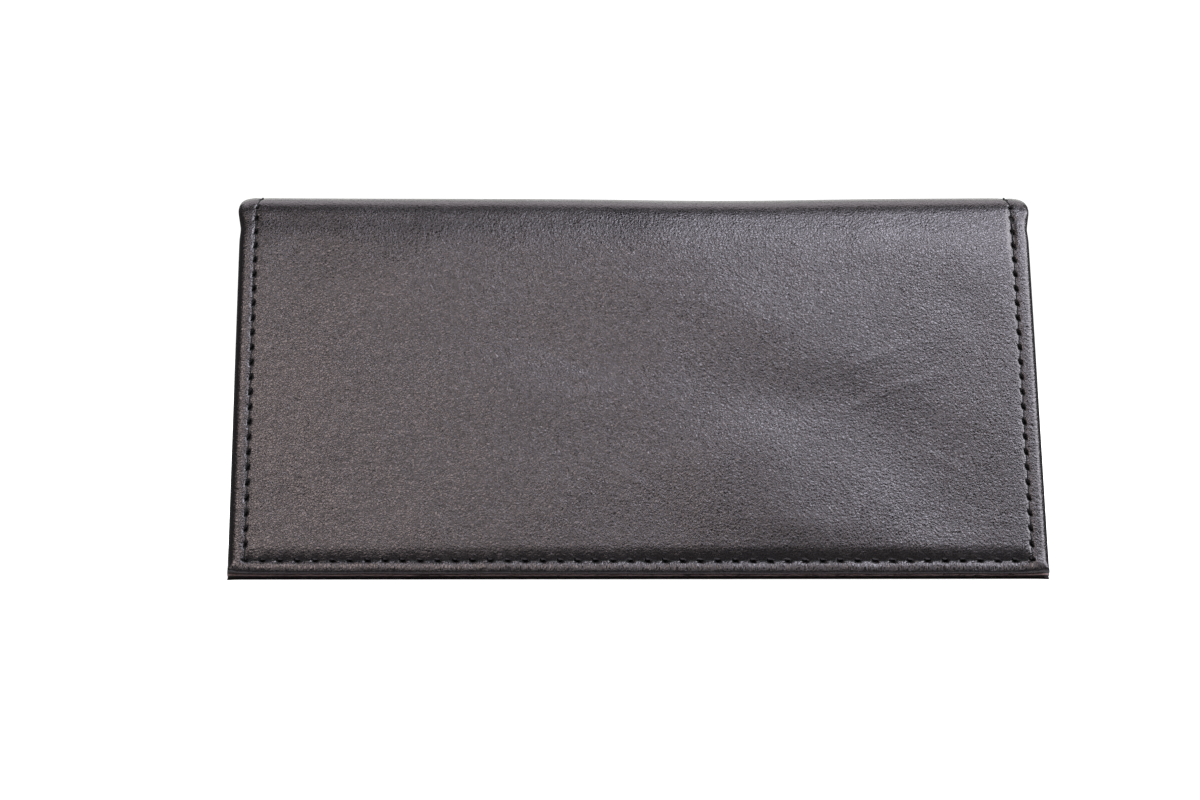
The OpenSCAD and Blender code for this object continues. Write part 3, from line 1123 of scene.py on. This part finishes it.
def board_material(colour):
    """Pressed grey-brown board with fibres and darker specks."""
    n = Nodes("board")
    where = n.node("TexCoord").outputs["Object"]
    fibre = n.noise(where, 0.0006, 4.0, 0.65, (0.2, 1.0, 1.0))
    speck = n.noise(where, 0.0013, 2.0, 0.5)
    tone = n.mix(n.ramp(fibre, 0.35, 0.65), shade(colour, 0.75), shade(colour))
    tone = n.mix(n.ramp(speck, 0.66, 0.74, 0.0, 0.6), tone, shade(colour, 0.4))
    n.bump(fibre, 0.03, 0.6)
    return n.finish(tone, n.ramp(fibre, 0.3, 0.7, 0.8, 0.92))


def over_the_fold(obj):
    """Bakes a piece's placement into its mesh."""
    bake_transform(obj)


class MakeLeather(bpy.types.Operator):
    """Adds the outer leather, one half for each panel, joined at the top of the fold"""

    bl_idname = "checkbook.make_leather"
    bl_label = "Outer leather"

    def execute(self, context):
        L, colours = Layout(context.scene.cover_sizes), context.scene.cover_colours
        hide = leather_material(
            L, "cover_leather", colours.leather, colours.leather_worn, L.grain, COVER_GRAIN_DEPTH
        )
        rubbed = edge_material(L, "cover_edge", colours.edge)
        for label, side in SIDES:
            obj = make_leather(L, label, side, hide, rubbed, hole_material())
            over_the_fold(obj)
            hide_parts(f"{label}_cover", "fold_cover")
        return {"FINISHED"}


class MakePockets(bpy.types.Operator):
    """Adds the two leather pockets inside the panels"""

    bl_idname = "checkbook.make_pockets"
    bl_label = "Pockets"

    def execute(self, context):
        L, colours = Layout(context.scene.cover_sizes), context.scene.cover_colours
        grain = POCKET_GRAIN_SHARE * L.grain
        hide = leather_material(
            L, "pocket_leather", colours.pocket, colours.leather_worn, grain, POCKET_GRAIN_DEPTH
        )
        rubbed = edge_material(L, "pocket_edge", colours.edge)
        for label, side in SIDES:
            obj = make_pocket(L, label, side, hide, rubbed, hole_material())
            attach(obj, f"{label}_panel")
            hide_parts(f"{label}_pocket")
        return {"FINISHED"}


class MakeLining(bpy.types.Operator):
    """Adds the lining cloth over the inside of the fold and the panels"""

    bl_idname = "checkbook.make_lining"
    bl_label = "Lining"

    def execute(self, context):
        L = Layout(context.scene.cover_sizes)
        cloth = lining_material(context.scene.cover_colours.lining)
        for label, side in SIDES:
            obj = make_lining(L, label, side, cloth)
            over_the_fold(obj)
            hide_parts(f"{label}_lining", "fold_lining")
        return {"FINISHED"}


class MakeThreads(bpy.types.Operator):
    """Adds the needle thread on the outside and the bobbin thread on the inside"""

    bl_idname = "checkbook.make_threads"
    bl_label = "Threads"

    def execute(self, context):
        L = Layout(context.scene.cover_sizes)
        waxed = thread_material(context.scene.cover_colours.thread)
        for label, side in SIDES:
            for inside, word in ((False, "seam"), (True, "bobbin")):
                obj = make_thread(L, label, side, waxed, inside)
                over_the_fold(obj)
                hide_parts(f"{label}_{word}_thread", f"fold_{word}_thread")
        return {"FINISHED"}


class FinishBoards(bpy.types.Operator):
    """Gives the two stiffening boards their pressed fibre finish"""

    bl_idname = "checkbook.finish_boards"
    bl_label = "Boards"

    def execute(self, context):
        fibre = board_material(context.scene.cover_colours.board)
        for label, _ in SIDES:
            for slot in frame["nodes"][f"{label}_board"].material_slots:
                slot.material = fibre
        return {"FINISHED"}


def add_camera(scene):
    data = bpy.data.cameras.new("camera")
    data.sensor_width = 36
    data.lens = CAMERA_LENS
    data.clip_start = 0.01
    camera = link("camera", data)
    camera.location = CAMERA_SPOT
    camera.rotation_euler = Euler((math.radians(90 - CAMERA_DOWN), 0, math.radians(CAMERA_TURN)))
    scene.camera = camera


def add_floor():
    """A round white floor, which glows for the camera alone so that it looks as white as the photo's."""
    n = Nodes("stage_floor")
    speck = n.noise(n.node("TexCoord").outputs["Object"], 0.02, 3.0)
    glow = n.times(n.node("LightPath").outputs["Is Camera Ray"], 0.92)
    n.put(n.skin.inputs["Emission Color"], (1, 1, 1, 1))
    n.put(n.skin.inputs["Emission Strength"], glow)
    white = n.finish(n.mix(speck, (0.93, 0.93, 0.93, 1), (0.95, 0.95, 0.95, 1)), 0.8)
    turns = [2 * math.pi * k / FLOOR_SIDES for k in range(FLOOR_SIDES)]
    ring = [(FLOOR_R * math.cos(a), FLOOR_R * math.sin(a), FLOOR_Z) for a in turns]
    mesh = bpy.data.meshes.new("floor")
    mesh.from_pydata(ring, [], [list(range(FLOOR_SIDES))])
    mesh.materials.append(white)
    link("floor", mesh)


def add_world(scene):
    """White surroundings for the camera, and a dim even light for everything else."""
    world = bpy.data.worlds.new("surroundings")
    scene.world = world
    world.use_nodes = True
    tree = world.node_tree
    tree.nodes.clear()
    out = tree.nodes.new("ShaderNodeOutputWorld")
    path = tree.nodes.new("ShaderNodeLightPath")
    mix = tree.nodes.new("ShaderNodeMixShader")
    tree.links.new(path.outputs["Is Camera Ray"], mix.inputs[0])
    for socket, colour, strength in ((1, (0.95, 0.97, 1, 1), 0.22), (2, (1, 1, 1, 1), 1.1)):
        light = tree.nodes.new("ShaderNodeBackground")
        light.inputs[0].default_value = colour
        light.inputs[1].default_value = strength
        tree.links.new(light.outputs[0], mix.inputs[socket])
    tree.links.new(mix.outputs[0], out.inputs[0])


def add_light(name, azimuth, elevation, size, watts, colour):
    """A soft light on a sphere round the cover; azimuth 0 is the front, positive to the right."""
    a, e = math.radians(azimuth), math.radians(elevation)
    data = bpy.data.lights.new(name, "AREA")
    data.shape = "RECTANGLE"
    data.size, data.size_y = size
    data.energy = watts
    data.color = colour
    way = Vector((math.sin(a) * math.cos(e), -math.cos(a) * math.cos(e), math.sin(e)))
    target = Vector(LIGHT_TARGET)
    spot = target + LIGHT_DISTANCE * way
    light = link(name, data)
    light.location = spot
    light.rotation_euler = (target - spot).to_track_quat("-Z", "Y").to_euler()
    light.visible_camera = False


class MakeStage(bpy.types.Operator):
    """Adds the camera, the floor, the soft lights and the pale surroundings"""

    bl_idname = "checkbook.make_stage"
    bl_label = "Stage"

    def execute(self, context):
        context.scene.view_settings.view_transform = "Standard"
        context.scene.view_settings.look = "None"
        add_camera(context.scene)
        add_floor()
        add_world(context.scene)
        for light in LIGHTS:
            add_light(*light)
        return {"FINISHED"}


class CoverPanel(bpy.types.Panel):
    """Lists the pieces of the cover, their sizes and their colours"""

    bl_idname = "VIEW3D_PT_checkbook_cover"
    bl_label = "Checkbook Cover"
    bl_space_type = "VIEW_3D"
    bl_region_type = "UI"
    bl_category = "Checkbook Cover"

    def draw(self, context):
        for step in STEPS:
            self.layout.operator(step.bl_idname)
        for group in (context.scene.cover_sizes, context.scene.cover_colours):
            box = self.layout.box()
            for key in group.__annotations__:
                box.prop(group, key)


STEPS = (MakeStage, MakeLeather, MakePockets, MakeLining, MakeThreads, FinishBoards)
CLASSES = (CoverSizes, CoverColours) + STEPS + (CoverPanel,)


def register():
    for cls in CLASSES:
        bpy.utils.register_class(cls)
    bpy.types.Scene.cover_sizes = PointerProperty(type=CoverSizes)
    bpy.types.Scene.cover_colours = PointerProperty(type=CoverColours)


def unregister():
    del bpy.types.Scene.cover_colours
    del bpy.types.Scene.cover_sizes
    for cls in reversed(CLASSES):
        bpy.utils.unregister_class(cls)


def main():
    register()
    bpy.ops.checkbook.make_stage()
    bpy.ops.checkbook.make_leather()
    bpy.ops.checkbook.make_pockets()
    bpy.ops.checkbook.make_lining()
    bpy.ops.checkbook.make_threads()
    bpy.ops.checkbook.finish_boards()
    bpy.context.view_layer.update()


if __name__ == "__main__":
    main()
